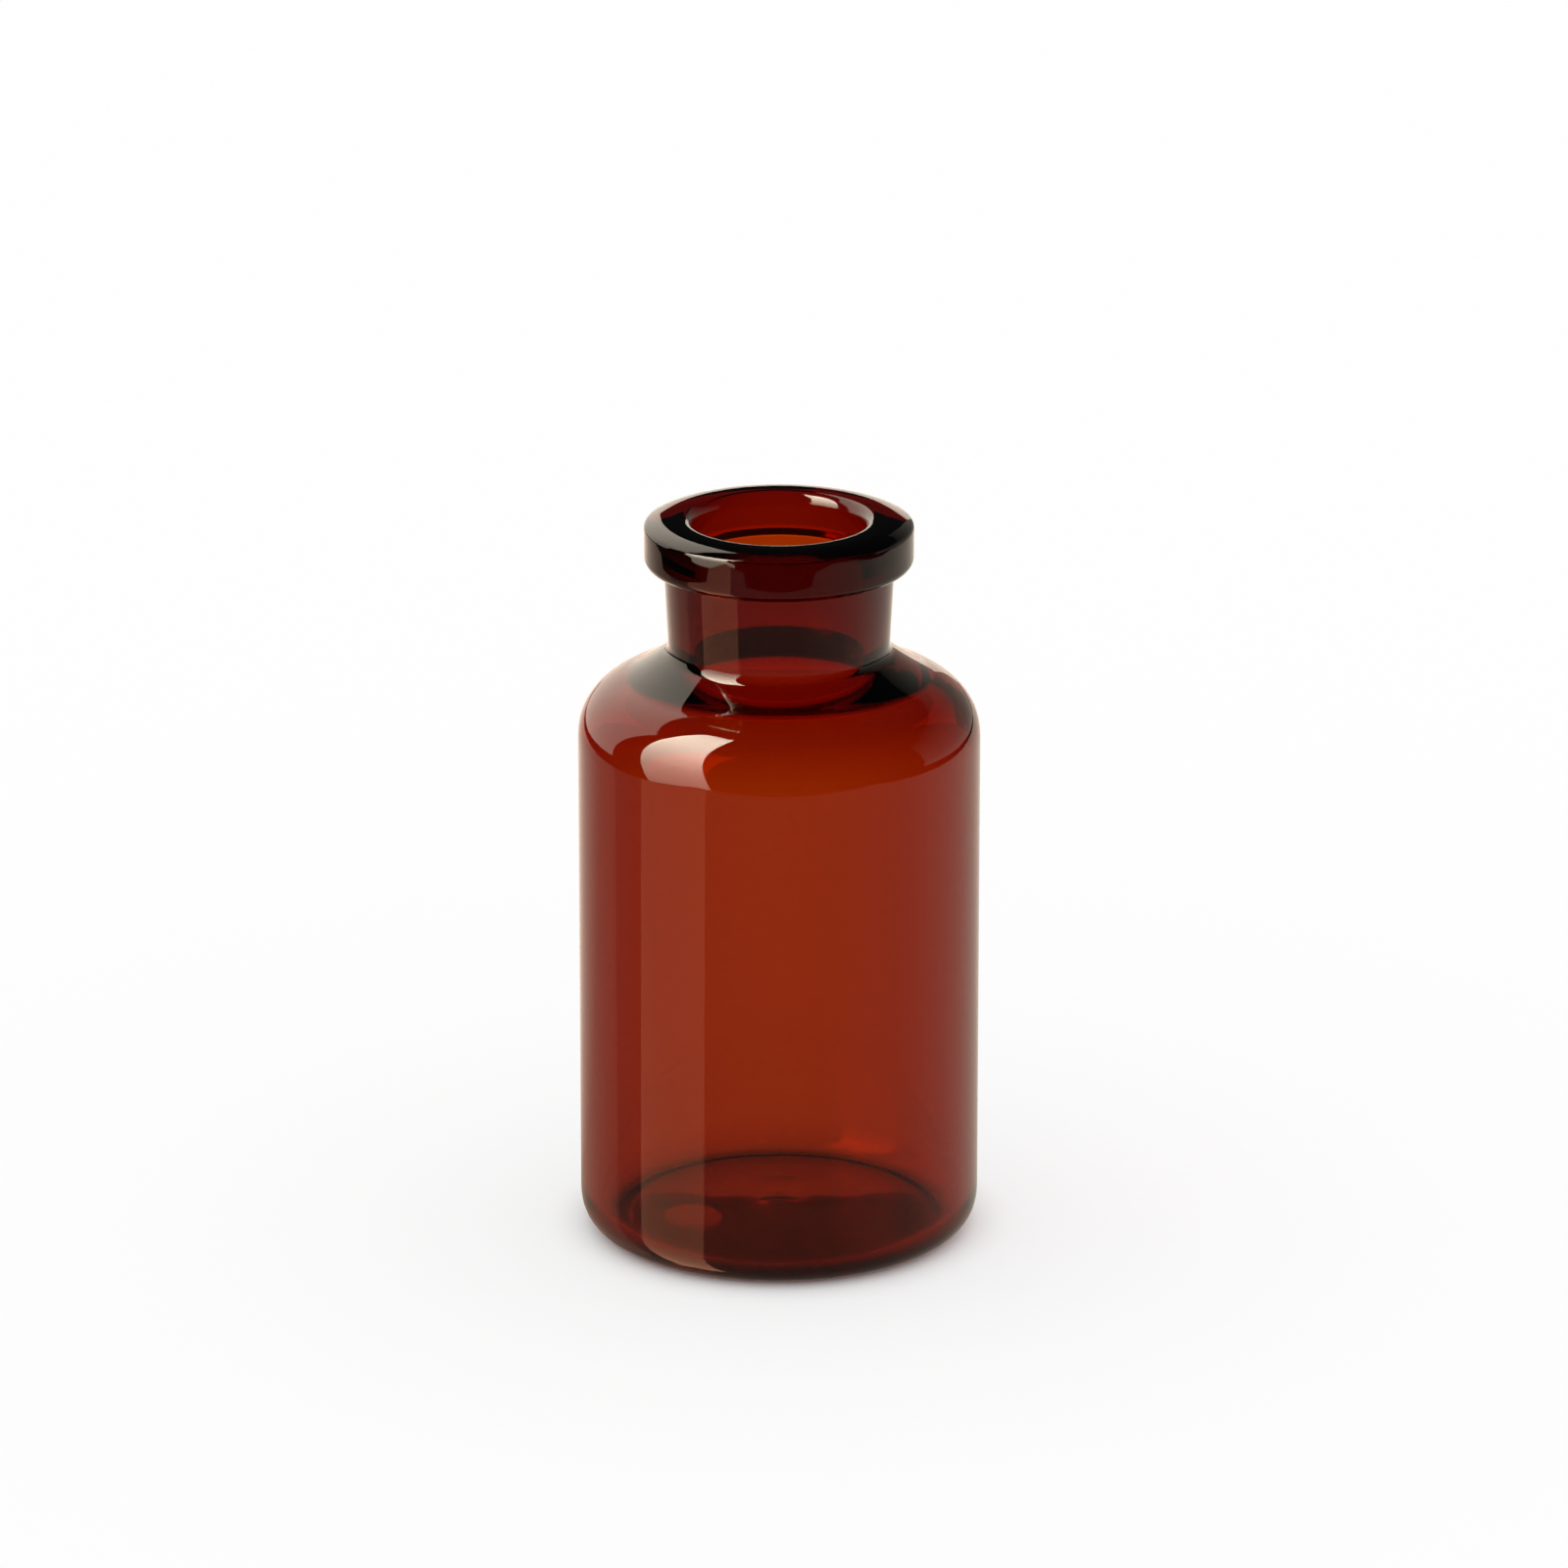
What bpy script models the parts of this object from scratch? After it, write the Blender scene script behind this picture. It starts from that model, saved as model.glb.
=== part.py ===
"""Amber glass injection vial: a 20R crimp-neck vial drawn from glass tubing, standing open and empty.

Metres, +Z up. The origin is the centre of the standing ring, on the surface the vial stands on. The whole
vial is one piece of glass: a turned outline is swept round Z with a Screw modifier.
"""

import math

import bpy

# Outer sizes, in metres
HEIGHT = 0.0555  # to the sealing land on top of the crimp flange
BODY_RADIUS = 0.015
WALL = 0.0012

# Base: a flat standing ring round a shallow push-up with a small nub in its middle
HEEL_WIDTH = 0.00266
HEEL_HEIGHT = 0.0030
HEEL_POWER = 2.31  # a little squarer than an ellipse
RING_INNER_RADIUS = 0.0106
PUSH_UP = 0.00085
NUB_RADIUS = 0.0015
NUB_HEIGHT = 0.00022
BASE_THICKNESS = 0.0007
INNER_HEEL_WIDTH = 0.0024
INNER_HEEL_HEIGHT = 0.0026

# Shoulder: a soft quarter that starts full at the body and flattens towards the neck
SHOULDER_BOTTOM = 0.0384
SHOULDER_TOP = 0.0436
SHOULDER_CENTRE_RADIUS = 0.00941
SHOULDER_POWERS = (1.76, 2.43)  # across, up
SHOULDER_START = 64.0  # degrees up the quarter, where the neck's flare runs into it
SHOULDER_THICKNESS = 0.0018
INNER_SHOULDER_BOTTOM = 0.0382
INNER_SHOULDER_START = 50.0

# Foot of the neck: a tight turn that runs out into a flare, and the wider throat inside it
FOOT_TOP = 0.0458
FOOT_RADIUS = 0.00095
FOOT_TURN = 57.0  # degrees
FOOT_PULL = 0.0006
FLARE_PULL = 0.0008
THROAT_TOP = 0.0440
THROAT_PULL = 0.0014
THROAT_FLARE_PULL = 0.0030

# Neck, slightly wider at the top than at the shoulder
NECK_BOTTOM_RADIUS = 0.00824
NECK_TOP_RADIUS = 0.00854
NECK_FILLET = 0.00035
BORE_RADIUS = 0.0063

# Crimp flange: a plain band with a crowned top that is flat only on its sealing land
FLANGE_RADIUS = 0.010
FLANGE_UNDERSIDE = 0.05187
FLANGE_LOWER_EDGE = 0.00075
FLANGE_UPPER_EDGE = 0.00035
CROWN_RADIUS = 0.0043
LIP_RADIUS = 0.00095
LAND_OUTER_RADIUS = 0.00795

SEGMENTS = 64

AMBER = (0.33, 0.045, 0.012, 1.0)
GLASS_IOR = 1.49
GLASS_ROUGHNESS = 0.03


def clear_scene():
    for obj in list(bpy.data.objects):
        bpy.data.objects.remove(obj, do_unlink=True)


def signed_power(value, power):
    """value to a power, keeping its sign. What is left of a full turn's rounding counts as 0."""
    if abs(value) < 1e-9:
        return 0.0
    return math.copysign(abs(value) ** power, value)


def arc(centre, size, start, end, steps, powers=(2, 2)):
    """Points (r, z) on a superellipse about centre from one angle in degrees to another, both included."""
    points = []
    for i in range(steps + 1):
        angle = math.radians(start + (end - start) * i / steps)
        across = signed_power(math.cos(angle), 2 / powers[0])
        up = signed_power(math.sin(angle), 2 / powers[1])
        points.append((centre[0] + size[0] * across, centre[1] + size[1] * up))
    return points


def bent(start, start_pull, end_pull, end, steps):
    """Points on a cubic curve from start to end, drawn towards the two pull points."""
    points = []
    for i in range(steps + 1):
        t = i / steps
        weights = ((1 - t) ** 3, 3 * t * (1 - t) ** 2, 3 * t * t * (1 - t), t**3)
        corners = (start, start_pull, end_pull, end)
        r = sum(weight * corner[0] for weight, corner in zip(weights, corners))
        z = sum(weight * corner[1] for weight, corner in zip(weights, corners))
        points.append((r, z))
    return points


def beyond(before, point, length):
    """The place a length past a point, going straight on from the one before it."""
    step = math.dist(before, point)
    return tuple(b + (b - a) / step * length for a, b in zip(before, point))


def push_up(r):
    """Height of the underside inside the standing ring: a cosine rise, and the nub on top of it."""
    rise = PUSH_UP * (1 + math.cos(math.pi * r / RING_INNER_RADIUS)) / 2
    return rise + NUB_HEIGHT * math.exp(-((r / NUB_RADIUS) ** 2)) if r < RING_INNER_RADIUS else 0.0


def base_radii():
    """Radii from the axis to the standing ring, closer together over the nub."""
    steps = 7
    return [RING_INNER_RADIUS * (i / steps) ** 1.5 for i in range(steps + 1)]


def inside():
    """From the axis on the floor, up the cavity's wall and the bore to the lip."""
    inner_radius = BODY_RADIUS - WALL
    ceiling = SHOULDER_TOP - SHOULDER_THICKNESS
    floor = [(r, push_up(r) + BASE_THICKNESS) for r in base_radii()]
    heel = arc(
        (inner_radius - INNER_HEEL_WIDTH, BASE_THICKNESS + INNER_HEEL_HEIGHT),
        (INNER_HEEL_WIDTH, INNER_HEEL_HEIGHT),
        -90,
        0,
        5,
    )
    shoulder = arc(
        (SHOULDER_CENTRE_RADIUS, INNER_SHOULDER_BOTTOM),
        (inner_radius - SHOULDER_CENTRE_RADIUS, ceiling - INNER_SHOULDER_BOTTOM),
        0,
        INNER_SHOULDER_START,
        6,
        SHOULDER_POWERS,
    )
    throat = bent(
        shoulder[-1],
        beyond(shoulder[-2], shoulder[-1], THROAT_FLARE_PULL),
        (BORE_RADIUS, THROAT_TOP - THROAT_PULL),
        (BORE_RADIUS, THROAT_TOP),
        6,
    )
    lip = arc((BORE_RADIUS + LIP_RADIUS, HEIGHT - LIP_RADIUS), (LIP_RADIUS, LIP_RADIUS), 180, 90, 4)
    return floor + heel + shoulder + throat[1:] + lip


def flange():
    """From the sealing land over the crown and the band to the underside."""
    edge = FLANGE_UPPER_EDGE
    # The upper edge is an arc tangent to the crown above it and to the band below it.
    reach = CROWN_RADIUS - edge
    lean = math.asin((FLANGE_RADIUS - edge - LAND_OUTER_RADIUS) / reach)
    crown_centre = (LAND_OUTER_RADIUS, HEIGHT - CROWN_RADIUS)
    edge_centre = (FLANGE_RADIUS - edge, crown_centre[1] + reach * math.cos(lean))
    crown_end = 90 - math.degrees(lean)
    crown = arc(crown_centre, (CROWN_RADIUS, CROWN_RADIUS), 90, crown_end, 3)
    upper = arc(edge_centre, (edge, edge), crown_end, 0, 3)
    lower = arc(
        (FLANGE_RADIUS - FLANGE_LOWER_EDGE, FLANGE_UNDERSIDE + FLANGE_LOWER_EDGE),
        (FLANGE_LOWER_EDGE, FLANGE_LOWER_EDGE),
        0,
        -90,
        4,
    )
    return crown + upper[1:] + lower


def outside():
    """From the neck's top down the shoulder and the body, and in under the base to the axis."""
    neck_top = arc(
        (NECK_TOP_RADIUS + NECK_FILLET, FLANGE_UNDERSIDE - NECK_FILLET),
        (NECK_FILLET, NECK_FILLET),
        90,
        180,
        2,
    )
    neck_foot = arc(
        (NECK_BOTTOM_RADIUS + FOOT_RADIUS, FOOT_TOP),
        (FOOT_RADIUS, FOOT_RADIUS),
        180,
        180 + FOOT_TURN,
        3,
    )
    shoulder = arc(
        (SHOULDER_CENTRE_RADIUS, SHOULDER_BOTTOM),
        (BODY_RADIUS - SHOULDER_CENTRE_RADIUS, SHOULDER_TOP - SHOULDER_BOTTOM),
        SHOULDER_START,
        0,
        7,
        SHOULDER_POWERS,
    )
    flare = bent(
        neck_foot[-1],
        beyond(neck_foot[-2], neck_foot[-1], FOOT_PULL),
        beyond(shoulder[1], shoulder[0], FLARE_PULL),
        shoulder[0],
        4,
    )
    heel = arc(
        (BODY_RADIUS - HEEL_WIDTH, HEEL_HEIGHT),
        (HEEL_WIDTH, HEEL_HEIGHT),
        0,
        -90,
        6,
        (HEEL_POWER, HEEL_POWER),
    )
    base = [(r, push_up(r)) for r in reversed(base_radii())]
    return neck_top + neck_foot + flare[1:] + shoulder[1:] + heel + base


def glass_material():
    material = bpy.data.materials.new("amber_glass")
    material.use_nodes = True
    shader = material.node_tree.nodes["Principled BSDF"]
    shader.inputs["Base Color"].default_value = AMBER
    shader.inputs["Roughness"].default_value = GLASS_ROUGHNESS
    shader.inputs["Metallic"].default_value = 0.0
    shader.inputs["IOR"].default_value = GLASS_IOR
    shader.inputs["Transmission Weight"].default_value = 1.0
    material.diffuse_color = AMBER
    return material


def turned(name, outline, material):
    """An object whose outline of (r, z) points is swept once round Z."""
    mesh = bpy.data.meshes.new(name)
    points = [(r, 0.0, z) for r, z in outline]
    mesh.from_pydata(points, [(i, i + 1) for i in range(len(points) - 1)], [])
    mesh.materials.append(material)
    obj = bpy.data.objects.new(name, mesh)
    bpy.context.scene.collection.objects.link(obj)
    screw = obj.modifiers.new("turn", "SCREW")
    screw.axis = "Z"
    screw.angle = math.tau
    screw.steps = SEGMENTS
    screw.render_steps = SEGMENTS
    screw.use_merge_vertices = True
    screw.merge_threshold = 0.000001
    screw.use_smooth_shade = True
    return obj


def make_solid(obj, sharp_degrees=50):
    """Applies the sweep, so that the mesh itself is shaded smooth except at its sharp edges."""
    graph = bpy.context.evaluated_depsgraph_get()
    swept = bpy.data.meshes.new_from_object(obj.evaluated_get(graph))
    swept.name = obj.name
    obj.modifiers.clear()
    obj.data = swept
    swept.shade_smooth()
    swept.set_sharp_from_angle(angle=math.radians(sharp_degrees))


clear_scene()
vial = turned("glass_vial", inside() + flange() + outside(), glass_material())
make_solid(vial)
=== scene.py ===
"""Looks of the amber glass vial: a finely turned glass mesh, its glass, a white studio and the camera."""

import math

import bpy
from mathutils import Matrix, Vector


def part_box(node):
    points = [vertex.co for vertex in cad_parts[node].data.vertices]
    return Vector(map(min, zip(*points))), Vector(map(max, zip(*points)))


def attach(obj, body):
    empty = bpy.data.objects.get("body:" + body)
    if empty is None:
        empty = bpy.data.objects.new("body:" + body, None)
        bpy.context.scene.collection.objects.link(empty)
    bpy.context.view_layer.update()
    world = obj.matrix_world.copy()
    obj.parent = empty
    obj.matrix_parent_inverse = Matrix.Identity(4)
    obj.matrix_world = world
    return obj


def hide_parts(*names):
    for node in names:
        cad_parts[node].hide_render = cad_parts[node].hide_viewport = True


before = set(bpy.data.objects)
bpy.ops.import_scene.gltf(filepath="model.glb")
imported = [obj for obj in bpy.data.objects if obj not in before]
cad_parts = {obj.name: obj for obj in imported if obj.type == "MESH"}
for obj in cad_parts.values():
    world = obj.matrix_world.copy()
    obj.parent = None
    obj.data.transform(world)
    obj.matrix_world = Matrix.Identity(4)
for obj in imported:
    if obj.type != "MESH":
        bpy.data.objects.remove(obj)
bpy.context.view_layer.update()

VIAL_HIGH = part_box("glass_vial")[1]

# ---------------------------------------------------------------- shape, in metres and degrees

HEIGHT = VIAL_HIGH.z
BODY_RADIUS = VIAL_HIGH.x
WALL = 0.0012

# Base: BASE_CROWDING draws the rings of the mesh together over the nub
HEEL_WIDTH = 0.00266
HEEL_HEIGHT = 0.0030
HEEL_POWERS = (2.31, 2.31)
RING_INNER_RADIUS = 0.0106
PUSH_UP = 0.00085
NUB_RADIUS = 0.0015
NUB_HEIGHT = 0.00022
BASE_THICKNESS = 0.0007
INNER_HEEL_WIDTH = 0.0024
INNER_HEEL_HEIGHT = 0.0026
BASE_STEPS = 36
BASE_CROWDING = 1.3

# Shoulder
SHOULDER_BOTTOM = 0.0384
SHOULDER_TOP = 0.0436
SHOULDER_POWERS = (1.76, 2.43)
SHOULDER_CENTRE_RADIUS = 0.00941
SHOULDER_START = 64.0
SHOULDER_THICKNESS = 0.0018
INNER_SHOULDER_BOTTOM = 0.0382
INNER_SHOULDER_START = 50.0

# Neck foot, where the neck flares out into the shoulder, and the throat inside it
FOOT_TOP = 0.0458
FOOT_RADIUS = 0.00095
FOOT_TURN = 57.0
FOOT_PULL = 0.0006
FLARE_PULL = 0.0008
THROAT_TOP = 0.0440
THROAT_PULL = 0.0014
THROAT_FLARE_PULL = 0.0030

# Neck
NECK_BOTTOM_RADIUS = 0.00824
NECK_TOP_RADIUS = 0.00854
NECK_FILLET = 0.00035
BORE_RADIUS = 0.0063

# Crimp flange
FLANGE_RADIUS = 0.010
FLANGE_UNDERSIDE = 0.05187
FLANGE_LOWER_EDGE = 0.00075
FLANGE_UPPER_EDGE = 0.00035
CROWN_RADIUS = 0.0043
LIP_RADIUS = 0.00095
LAND_OUTER_RADIUS = 0.00795

# Mesh: sides round Z, the distance at which two points are the same, and what counts as zero
SEGMENTS = 192
SAME_POINT = 1e-7
ROUNDING = 1e-9

# ---------------------------------------------------------------- glass

WHITE = (1.0, 1.0, 1.0, 1.0)
GLASS_IOR = 1.49
ABSORPTION_DENSITY = 3600.0
ABSORPTION_COLOUR = (0.856, 0.55, 0.0, 1.0)

# Noise settings and depths in metres of the surface detail
WAVES = {"Scale": 260.0, "Detail": 1.0}
WAVE_DEPTH = 0.000006
DRAW_LINES = {"Scale": 900.0, "Detail": 2.0}
DRAW_LINE_STRETCH = (1.0, 1.0, 0.012)
DRAW_LINE_DEPTH = 0.0000003
FORMING_RINGS = {"Scale": 2600.0, "Detail": 1.0}
FORMING_RING_DEPTH = 0.0000011
SCUFFS = {"Scale": 620.0, "Detail": 6.0, "Roughness": 0.7}
SCUFF_RANGE = (0.60, 0.74)
SCUFF_ROUGHNESS = 0.055
# Heights where the forming rings begin, are at full depth, begin to fade and end
FORMING_ZONE = (0.0385, 0.0405, 0.0460, 0.0468)

# ---------------------------------------------------------------- studio

LOOK_POINT = Vector((0.0, 0.0, 0.039))
WORLD_SEEN = 1.04
WORLD_REFLECTED = 0.015

# Softbox at the left, seen from LOOK_POINT: azimuth and elevation of the lower corners, shifted a little
# down the softbox, then the directions of the upper ones
KEY_LOWER_CORNERS = ((-80, -8), (-38.6, -8))
KEY_LOWER_DISTANCE = 0.45
KEY_SHIFT = -0.05 * Vector((-0.0533, 0.2425, 0.9687))
KEY_UPPER_CORNERS = ((-0.241, 0.021, 0.970), (-0.359, 0.191, 0.914))
KEY_UPPER_DISTANCE = 1.5
KEY_TINT = (1.4, 1.28, 1.0)
KEY_GLOW = [(0.0, 1.7), (0.12, 3.7), (0.3, 9.4), (0.45, 12.0), (0.7, 12.0), (1.0, 8.6)]

# Upright panels: name, azimuth, distance, half width, lower edge, upper edge, stops up the panel.
# Every stop in this section is (place from 0 to 1, radiance).
PANEL_TINT = (1.35, 1.2, 1.0)
PANELS = [
    ("back_left_panel", -139.5, 0.5, 0.3185, 0.0, 0.656, [(0.0, 1.1), (0.5, 1.3), (1.0, 1.4)]),
    ("right_reflector", 128.0, 0.45, 0.37, 0.0, 0.36, [(0.0, 0.45), (0.2, 0.28), (1.0, 0.05)]),
    ("rear_strip", 180.0, 0.7, 0.155, -0.1, 0.19, [(0.0, 1.1), (1.0, 1.1)]),
]

# Floor: white under the vial without a glow; past it greyer, with a painted glow that fills in the vial's
# shadow
FLOOR_Z = -0.00003
FLOOR_EXTENT = ((-3.0, -3.0), (3.0, 3.0))
FLOOR_ALBEDO_NEAR = 0.96
FLOOR_ALBEDO = 0.38
FLOOR_PAINTED_GLOW = 0.6
PAINTED_GLOW_RADIUS_RANGE = (0.0125, 0.018)

# The table top as a painted reflection in the vial, with a warm-tinted sheen: 0 and 1 are straight behind,
# 0.25 left, 0.5 in front, 0.75 right
TABLE_EXTENT = ((-0.16, -0.16), (0.2, 0.4))
TABLE_PAINTED_WARM_SHEEN = (0.17, 0.078, 0.055, 1.0)
TABLE_ROUGHNESS = 0.02
TABLE_PAINTED_REFLECTION = [
    (0.0, 0.90), (0.05, 0.77), (0.11, 0.42), (0.17, 0.20), (0.25, 0.15), (0.55, 0.14), (0.67, 0.23),
    (0.78, 0.40), (0.89, 0.50), (0.97, 0.70), (1.0, 0.90),
]

# ---------------------------------------------------------------- camera

CAMERA_ELEVATION = 19.217
CAMERA_DISTANCE = 0.6687
CAMERA_PIVOT = Vector((0.0, 0.0, 0.0275))
CAMERA_AIM = Vector((0.000367, 0.00225, 0.03395))
LENS = 204.95
SENSOR_WIDTH = 36.0
CLIP_START = 0.01
CLIP_END = 20.0

THROUGH_GLASS_BOUNCES = 32
GLOSSY_BOUNCES = 16


def signed_power(value, power):
    """value to a power, keeping its sign. What is left of a full turn's rounding counts as 0."""
    if abs(value) < ROUNDING:
        return 0.0
    return math.copysign(abs(value) ** power, value)


def arc(centre, size, start, end, steps, powers=(2, 2)):
    """Points (r, z) on a superellipse about centre from one angle in degrees to another, both included."""
    points = []
    for i in range(steps + 1):
        angle = math.radians(start + (end - start) * i / steps)
        across = signed_power(math.cos(angle), 2 / powers[0])
        up = signed_power(math.sin(angle), 2 / powers[1])
        points.append((centre[0] + size[0] * across, centre[1] + size[1] * up))
    return points


def straight(start, end, steps):
    """Points between start and end, both left out."""
    return [
        (start[0] + (end[0] - start[0]) * i / steps, start[1] + (end[1] - start[1]) * i / steps)
        for i in range(1, steps)
    ]


def bent(start, start_pull, end_pull, end, steps):
    """Points on a cubic curve from start to end, both included, drawn towards the two pull points."""
    points = []
    for i in range(steps + 1):
        t = i / steps
        weights = ((1 - t) ** 3, 3 * t * (1 - t) ** 2, 3 * t * t * (1 - t), t ** 3)
        points.append(tuple(
            sum(w * p[k] for w, p in zip(weights, (start, start_pull, end_pull, end))) for k in (0, 1)
        ))
    return points


def beyond(before, point, length):
    """The place a length past a point, going straight on from the one before it."""
    step = math.dist(before, point)
    return tuple(b + (b - a) / step * length for a, b in zip(before, point))


def push_up(r):
    """Height of the underside at radius r: a cosine rise inside the standing ring, with the nub on it."""
    rise = PUSH_UP * (1 + math.cos(math.pi * r / RING_INNER_RADIUS)) / 2
    return rise + NUB_HEIGHT * math.exp(-((r / NUB_RADIUS) ** 2)) if r < RING_INNER_RADIUS else 0.0


def base_radii():
    """Radii from the axis to the standing ring, closer together over the nub."""
    return [RING_INNER_RADIUS * (i / BASE_STEPS) ** BASE_CROWDING for i in range(BASE_STEPS + 1)]


def inside():
    """From the axis on the floor, up the cavity's wall and the bore to the lip."""
    inner_radius = BODY_RADIUS - WALL
    ceiling = SHOULDER_TOP - SHOULDER_THICKNESS
    floor = [(r, push_up(r) + BASE_THICKNESS) for r in base_radii()]
    heel_centre = (inner_radius - INNER_HEEL_WIDTH, BASE_THICKNESS + INNER_HEEL_HEIGHT)
    heel = arc(heel_centre, (INNER_HEEL_WIDTH, INNER_HEEL_HEIGHT), -90, 0, steps=20)
    wall = straight(heel[-1], (inner_radius, INNER_SHOULDER_BOTTOM), steps=12)
    shoulder = arc(
        (SHOULDER_CENTRE_RADIUS, INNER_SHOULDER_BOTTOM),
        (inner_radius - SHOULDER_CENTRE_RADIUS, ceiling - INNER_SHOULDER_BOTTOM),
        0, INNER_SHOULDER_START, steps=36, powers=SHOULDER_POWERS,
    )
    throat = bent(
        shoulder[-1], beyond(shoulder[-2], shoulder[-1], THROAT_FLARE_PULL),
        (BORE_RADIUS, THROAT_TOP - THROAT_PULL), (BORE_RADIUS, THROAT_TOP), steps=28,
    )
    bore = straight(throat[-1], (BORE_RADIUS, HEIGHT - LIP_RADIUS), steps=8)
    lip_centre = (BORE_RADIUS + LIP_RADIUS, HEIGHT - LIP_RADIUS)
    lip = arc(lip_centre, (LIP_RADIUS, LIP_RADIUS), 180, 90, steps=16)
    return floor + heel + wall + shoulder + throat[1:] + bore + lip


def flange():
    """From the sealing land over the crown and the band to the underside."""
    edge = FLANGE_UPPER_EDGE
    # The upper edge is an arc tangent to the crown above it and to the band below it.
    reach = CROWN_RADIUS - edge
    lean = math.asin((FLANGE_RADIUS - edge - LAND_OUTER_RADIUS) / reach)
    crown_centre = (LAND_OUTER_RADIUS, HEIGHT - CROWN_RADIUS)
    crown_end = 90 - math.degrees(lean)
    crown = arc(crown_centre, (CROWN_RADIUS, CROWN_RADIUS), 90, crown_end, steps=12)
    upper_centre = (FLANGE_RADIUS - edge, crown_centre[1] + reach * math.cos(lean))
    upper = arc(upper_centre, (edge, edge), crown_end, 0, steps=10)
    lower_centre = (FLANGE_RADIUS - FLANGE_LOWER_EDGE, FLANGE_UNDERSIDE + FLANGE_LOWER_EDGE)
    lower = arc(lower_centre, (FLANGE_LOWER_EDGE, FLANGE_LOWER_EDGE), 0, -90, steps=14)
    return crown + upper[1:] + straight(upper[-1], lower[0], steps=4) + lower


def outside():
    """From the neck's top down the shoulder and the body, and in under the base to the axis."""
    top_centre = (NECK_TOP_RADIUS + NECK_FILLET, FLANGE_UNDERSIDE - NECK_FILLET)
    neck_top = arc(top_centre, (NECK_FILLET, NECK_FILLET), 90, 180, steps=8)
    foot_centre = (NECK_BOTTOM_RADIUS + FOOT_RADIUS, FOOT_TOP)
    neck_foot = arc(foot_centre, (FOOT_RADIUS, FOOT_RADIUS), 180, 180 + FOOT_TURN, steps=14)
    shoulder = arc(
        (SHOULDER_CENTRE_RADIUS, SHOULDER_BOTTOM),
        (BODY_RADIUS - SHOULDER_CENTRE_RADIUS, SHOULDER_TOP - SHOULDER_BOTTOM),
        SHOULDER_START, 0, steps=36, powers=SHOULDER_POWERS,
    )
    flare = bent(
        neck_foot[-1], beyond(neck_foot[-2], neck_foot[-1], FOOT_PULL),
        beyond(shoulder[1], shoulder[0], FLARE_PULL), shoulder[0], steps=24,
    )
    heel_centre = (BODY_RADIUS - HEEL_WIDTH, HEEL_HEIGHT)
    heel = arc(heel_centre, (HEEL_WIDTH, HEEL_HEIGHT), 0, -90, steps=24, powers=HEEL_POWERS)
    neck = straight(neck_top[-1], neck_foot[0], steps=6)
    body = straight(shoulder[-1], heel[0], steps=12)
    base = [(r, push_up(r)) for r in reversed(base_radii())]
    return neck_top + neck + neck_foot + flare[1:] + shoulder[1:] + body + heel + base


def turned(name, outline):
    """A closed mesh: the outline's points (r, z), which start and end on the axis, swept round Z."""
    kept = [outline[0]]
    for point in outline[1:]:
        if math.dist(point, kept[-1]) > SAME_POINT:
            kept.append(point)
    vertices, rings = [], []
    for r, z in kept:
        first = len(vertices)
        if r < ROUNDING:
            vertices.append((0.0, 0.0, z))
            rings.append([first] * SEGMENTS)
        else:
            for i in range(SEGMENTS):
                turn = math.tau * i / SEGMENTS
                vertices.append((r * math.cos(turn), r * math.sin(turn), z))
            rings.append(list(range(first, first + SEGMENTS)))
    faces = []
    for low, high in zip(rings[:-1], rings[1:]):
        for i in range(SEGMENTS):
            j = (i + 1) % SEGMENTS
            corners = []
            for corner in (low[i], high[i], high[j], low[j]):
                if corner not in corners:
                    corners.append(corner)
            faces.append(corners)
    mesh = bpy.data.meshes.new(name)
    mesh.from_pydata(vertices, [], faces)
    mesh.validate()
    mesh.shade_smooth()
    mesh.update()
    piece = bpy.data.objects.new(name, mesh)
    bpy.context.scene.collection.objects.link(piece)
    return piece


def add_node(tree, kind, values, *sources, **links):
    """A new node. Values set its inputs or properties, and sockets feed its inputs in order or by name."""
    node = tree.nodes.new(kind)
    for name, value in values.items():
        if name in node.inputs.keys():
            node.inputs[name].default_value = value
        else:
            setattr(node, name, value)
    for source, socket in zip(sources, node.inputs):
        tree.links.new(source, socket)
    for name, source in links.items():
        tree.links.new(source, node.inputs[name.replace("_", " ")])
    return node


def bumped(tree, noise, place, depth, **links):
    """The surface normal with one more layer of noise on it, depth metres deep."""
    height = add_node(tree, "ShaderNodeTexNoise", noise, Vector=place)
    bump = add_node(tree, "ShaderNodeBump", {"Distance": depth}, Height=height.outputs["Fac"], **links)
    return bump.outputs[0]


def ramp_between(tree, value, start, end, low=0.0, high=1.0, kind="LINEAR"):
    """A level that goes from low to high while value goes from start to end, and stays there."""
    values = {"From Min": start, "From Max": end, "To Min": low, "To Max": high, "interpolation_type": kind}
    return add_node(tree, "ShaderNodeMapRange", values, Value=value).outputs["Result"]


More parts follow.
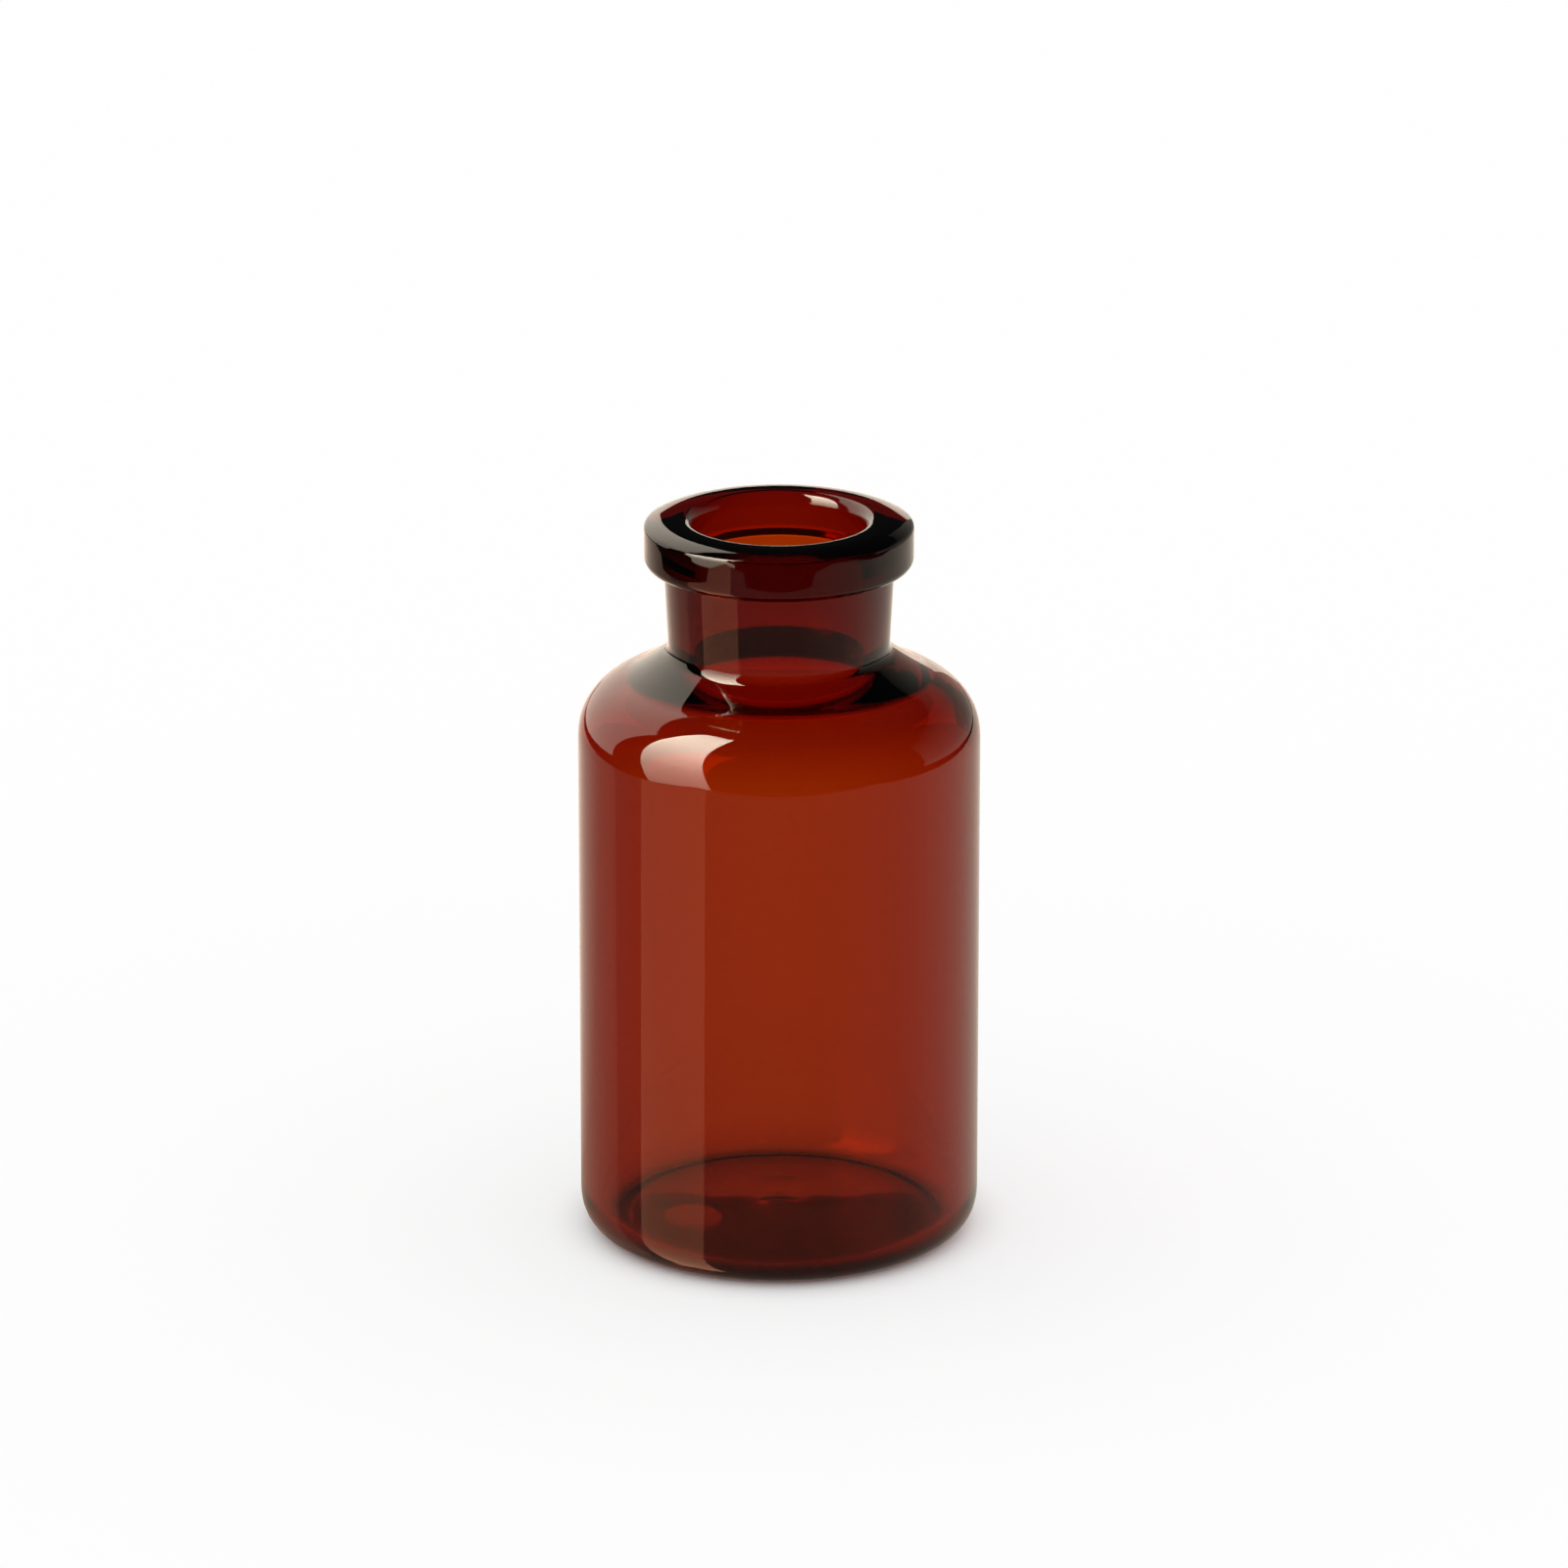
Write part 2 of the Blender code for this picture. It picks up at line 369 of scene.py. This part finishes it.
def glass_material():
    """Clear amber glass: gently wavy, with draw lines up the tube, forming rings and light scuffs."""
    material = bpy.data.materials.new("amber_glass")
    material.use_nodes = True
    tree = material.node_tree
    shader = tree.nodes["Principled BSDF"]
    shader.inputs["Base Color"].default_value = WHITE
    shader.inputs["IOR"].default_value = GLASS_IOR
    shader.inputs["Transmission Weight"].default_value = 1.0
    place = add_node(tree, "ShaderNodeTexCoord", {}).outputs["Object"]

    # Long soft waves left by the flame
    wavy = bumped(tree, WAVES, place, WAVE_DEPTH)

    # Faint lines up the tube
    stretched = add_node(tree, "ShaderNodeMapping", {"Scale": DRAW_LINE_STRETCH}, Vector=place)
    lined = bumped(tree, DRAW_LINES, stretched.outputs[0], DRAW_LINE_DEPTH, Normal=wavy)

    # Rings left by the forming tools, on the shoulder and at the foot of the neck only
    height = add_node(tree, "ShaderNodeSeparateXYZ", {}, place).outputs["Z"]
    flat = add_node(tree, "ShaderNodeVectorMath", {"operation": "MULTIPLY"}, place)
    flat.inputs[1].default_value = (1.0, 1.0, 0.0)
    radius = add_node(tree, "ShaderNodeVectorMath", {"operation": "LENGTH"}, flat.outputs[0])
    round_place = add_node(tree, "ShaderNodeCombineXYZ", {}, radius.outputs["Value"], height)
    begin, full, fade, end = FORMING_ZONE
    rising = ramp_between(tree, height, begin, full)
    falling = ramp_between(tree, height, end, fade)
    zone = add_node(tree, "ShaderNodeMath", {"operation": "MULTIPLY"}, rising, falling)
    shown = zone.outputs[0]
    ringed = bumped(
        tree, FORMING_RINGS, round_place.outputs[0], FORMING_RING_DEPTH, Strength=shown, Normal=lined
    )
    tree.links.new(ringed, shader.inputs["Normal"])

    # Fire-polished, with a few faint scuffs
    rubbed = add_node(tree, "ShaderNodeTexNoise", SCUFFS, Vector=place)
    scuffed = ramp_between(tree, rubbed.outputs["Fac"], *SCUFF_RANGE, high=SCUFF_ROUGHNESS)
    tree.links.new(scuffed, shader.inputs["Roughness"])

    tint = {"Color": ABSORPTION_COLOUR, "Density": ABSORPTION_DENSITY}
    volume = add_node(tree, "ShaderNodeVolumeAbsorption", tint)
    tree.links.new(volume.outputs[0], tree.nodes["Material Output"].inputs["Volume"])
    return material


def direction(azimuth, elevation):
    """Unit vector: azimuth 0 is towards the camera (-Y), positive to the right (+X)."""
    a, e = math.radians(azimuth), math.radians(elevation)
    return Vector((math.sin(a) * math.cos(e), -math.cos(a) * math.cos(e), math.sin(e)))


def empty_material(name):
    """A material without any nodes yet."""
    material = bpy.data.materials.new(name)
    material.use_nodes = True
    material.node_tree.nodes.clear()
    return material


def glow(tree, place, stops, tint):
    """An emission shader whose strength follows the stops, with straight lines between them."""
    ramp = add_node(tree, "ShaderNodeFloatCurve", {}, Value=place)
    brightest = max(radiance for _, radiance in stops)
    curve = ramp.mapping.curves[0]
    ramp.mapping.use_clip = False
    while len(curve.points) < len(stops):
        curve.points.new(0.5, 0.5)
    for point, (at, radiance) in zip(curve.points, stops):
        point.location = (at, radiance / brightest)
        point.handle_type = "VECTOR"
    ramp.mapping.update()
    strength = add_node(tree, "ShaderNodeMath", {"operation": "MULTIPLY"}, ramp.outputs[0])
    strength.inputs[1].default_value = brightest
    light = add_node(tree, "ShaderNodeEmission", {"Color": (*tint, 1.0)}, Strength=strength.outputs[0])
    return light.outputs[0]


def panel_material(name, stops, tint):
    """A lit panel's face: the stops run from its lower edge to its upper one."""
    material = empty_material(name)
    tree = material.node_tree
    uv = add_node(tree, "ShaderNodeTexCoord", {}).outputs["UV"]
    up = add_node(tree, "ShaderNodeSeparateXYZ", {}, uv).outputs["Y"]
    add_node(tree, "ShaderNodeOutputMaterial", {}, Surface=glow(tree, up, stops, tint))
    return material


def painted_table_reflection(name):
    """The table top as a painted reflection: its glow changes with the turn round Z, and its faint sheen is
    tinted warm.
    """
    material = empty_material(name)
    tree = material.node_tree
    place = add_node(tree, "ShaderNodeTexCoord", {}).outputs["Object"]
    # A quarter turn puts the start of the gradient straight behind
    quarter = add_node(tree, "ShaderNodeMapping", {"Rotation": (0.0, 0.0, math.radians(90))}, Vector=place)
    turn = add_node(tree, "ShaderNodeTexGradient", {"gradient_type": "RADIAL"}, quarter.outputs[0])
    # Painted reflection: a glow that follows the turn round Z and a warm-tinted sheen stand in for the room
    # mirrored in the glass
    light = glow(tree, turn.outputs["Fac"], TABLE_PAINTED_REFLECTION, PANEL_TINT)
    sheen = add_node(tree, "ShaderNodeBsdfGlossy", {"Color": TABLE_PAINTED_WARM_SHEEN, "Roughness": TABLE_ROUGHNESS})
    both = add_node(tree, "ShaderNodeAddShader", {}, light, sheen.outputs[0])
    add_node(tree, "ShaderNodeOutputMaterial", {}, Surface=both.outputs[0])
    return material


def painted_glow_floor(name):
    """Matt floor: white under the vial, and past it greyer with a painted glow that fills in the vial's
    shadow.
    """
    material = bpy.data.materials.new(name)
    material.use_nodes = True
    tree = material.node_tree
    shader = tree.nodes["Principled BSDF"]
    place = add_node(tree, "ShaderNodeTexCoord", {}).outputs["Object"]
    radius = add_node(tree, "ShaderNodeVectorMath", {"operation": "LENGTH"}, place).outputs["Value"]
    # Painted light: past the vial the albedo drops and a glow fills in the shadow the vial casts
    for socket, near, far in (
        ("Base Color", FLOOR_ALBEDO_NEAR, FLOOR_ALBEDO),
        ("Emission Strength", 0.0, FLOOR_PAINTED_GLOW),
    ):
        level = ramp_between(tree, radius, *PAINTED_GLOW_RADIUS_RANGE, near, far, "SMOOTHSTEP")
        tree.links.new(level, shader.inputs[socket])
    shader.inputs["Roughness"].default_value = 1.0
    shader.inputs["Specular IOR Level"].default_value = 0.0
    shader.inputs["Emission Color"].default_value = WHITE
    return material


def card(name, corners, material):
    """A flat quad, corners from bottom left round to top left: U runs left to right and V upwards."""
    mesh = bpy.data.meshes.new(name)
    mesh.from_pydata([tuple(c) for c in corners], [], [(0, 1, 2, 3)])
    layer = mesh.uv_layers.new(name="UVMap")
    for loop, uv in zip(layer.data, ((0, 0), (1, 0), (1, 1), (0, 1))):
        loop.uv = uv
    mesh.materials.append(material)
    obj = bpy.data.objects.new(name, mesh)
    bpy.context.scene.collection.objects.link(obj)
    return obj


def only_seen_in_glass(obj):
    """Hides a card from the camera and from matt surfaces. Reflections in the glass still see it."""
    obj.visible_camera = False
    obj.visible_diffuse = False
    obj.visible_shadow = False
    obj.visible_volume_scatter = False


def key_corners():
    """The softbox at the left: it rises from low beside the vial and leans in high over it."""
    lower = [
        LOOK_POINT + KEY_LOWER_DISTANCE * direction(*corner) + KEY_SHIFT for corner in KEY_LOWER_CORNERS
    ]
    upper = [LOOK_POINT + KEY_UPPER_DISTANCE * Vector(corner) for corner in KEY_UPPER_CORNERS]
    return lower + upper


def upright_corners(azimuth, distance, half_width, low, high):
    """An upright panel that faces the vial."""
    ahead = direction(azimuth, 0)
    side = Vector((-ahead.y, ahead.x, 0.0)) * half_width
    centre = ahead * distance
    return [
        centre + across + Vector((0, 0, height))
        for across, height in ((side, low), (-side, low), (-side, high), (side, high))
    ]


def level_corners(low, high):
    """A rectangle on the floor, between two (x, y) places."""
    return [
        Vector((x, y, FLOOR_Z))
        for x, y in ((low[0], low[1]), (high[0], low[1]), (high[0], high[1]), (low[0], high[1]))
    ]


def studio_world():
    """White for the eye and for light that passes through the glass, nearly black in reflections."""
    world = bpy.data.worlds.new("studio")
    bpy.context.scene.world = world
    world.use_nodes = True
    tree = world.node_tree
    tree.nodes.clear()
    seen = add_node(tree, "ShaderNodeBackground", {"Color": WHITE, "Strength": WORLD_SEEN})
    reflected = add_node(tree, "ShaderNodeBackground", {"Color": WHITE, "Strength": WORLD_REFLECTED})
    glossy = add_node(tree, "ShaderNodeLightPath", {}).outputs["Is Glossy Ray"]
    mix = add_node(tree, "ShaderNodeMixShader", {}, glossy, seen.outputs[0], reflected.outputs[0])
    add_node(tree, "ShaderNodeOutputWorld", {}, Surface=mix.outputs[0])


def studio():
    """Lit cards that only the glass sees, the floor with its painted glow past the vial, the table top as a
    painted reflection, and the world.
    """
    only_seen_in_glass(card("key_softbox", key_corners(), panel_material("key_glow", KEY_GLOW, KEY_TINT)))
    for name, azimuth, distance, half_width, low, high, stops in PANELS:
        corners = upright_corners(azimuth, distance, half_width, low, high)
        only_seen_in_glass(card(name, corners, panel_material(name + "_glow", stops, PANEL_TINT)))

    floor = card("floor", level_corners(*FLOOR_EXTENT), painted_glow_floor("floor_painted_glow"))
    floor.visible_glossy = False
    table = card("table_reflection", level_corners(*TABLE_EXTENT), painted_table_reflection("table_painted_reflection_glow"))
    only_seen_in_glass(table)
    table.visible_transmission = False
    studio_world()


def camera():
    """The photo's view: a long lens from in front and above."""
    data = bpy.data.cameras.new("camera")
    data.lens = LENS
    data.sensor_width = SENSOR_WIDTH
    data.clip_start = CLIP_START
    data.clip_end = CLIP_END
    obj = bpy.data.objects.new("camera", data)
    bpy.context.scene.collection.objects.link(obj)
    obj.location = CAMERA_PIVOT + CAMERA_DISTANCE * direction(0, CAMERA_ELEVATION)
    obj.rotation_mode = "QUATERNION"
    obj.rotation_quaternion = (CAMERA_AIM - obj.location).to_track_quat("-Z", "Y")
    bpy.context.scene.camera = obj


vial = turned("vial_glass", inside() + flange() + outside())
vial.data.materials.append(glass_material())
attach(vial, "root")
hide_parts("glass_vial")

studio()
camera()

scene = bpy.context.scene
scene.view_settings.view_transform = "Standard"
scene.view_settings.look = "None"
scene.cycles.max_bounces = THROUGH_GLASS_BOUNCES
scene.cycles.transmission_bounces = THROUGH_GLASS_BOUNCES
scene.cycles.glossy_bounces = GLOSSY_BOUNCES
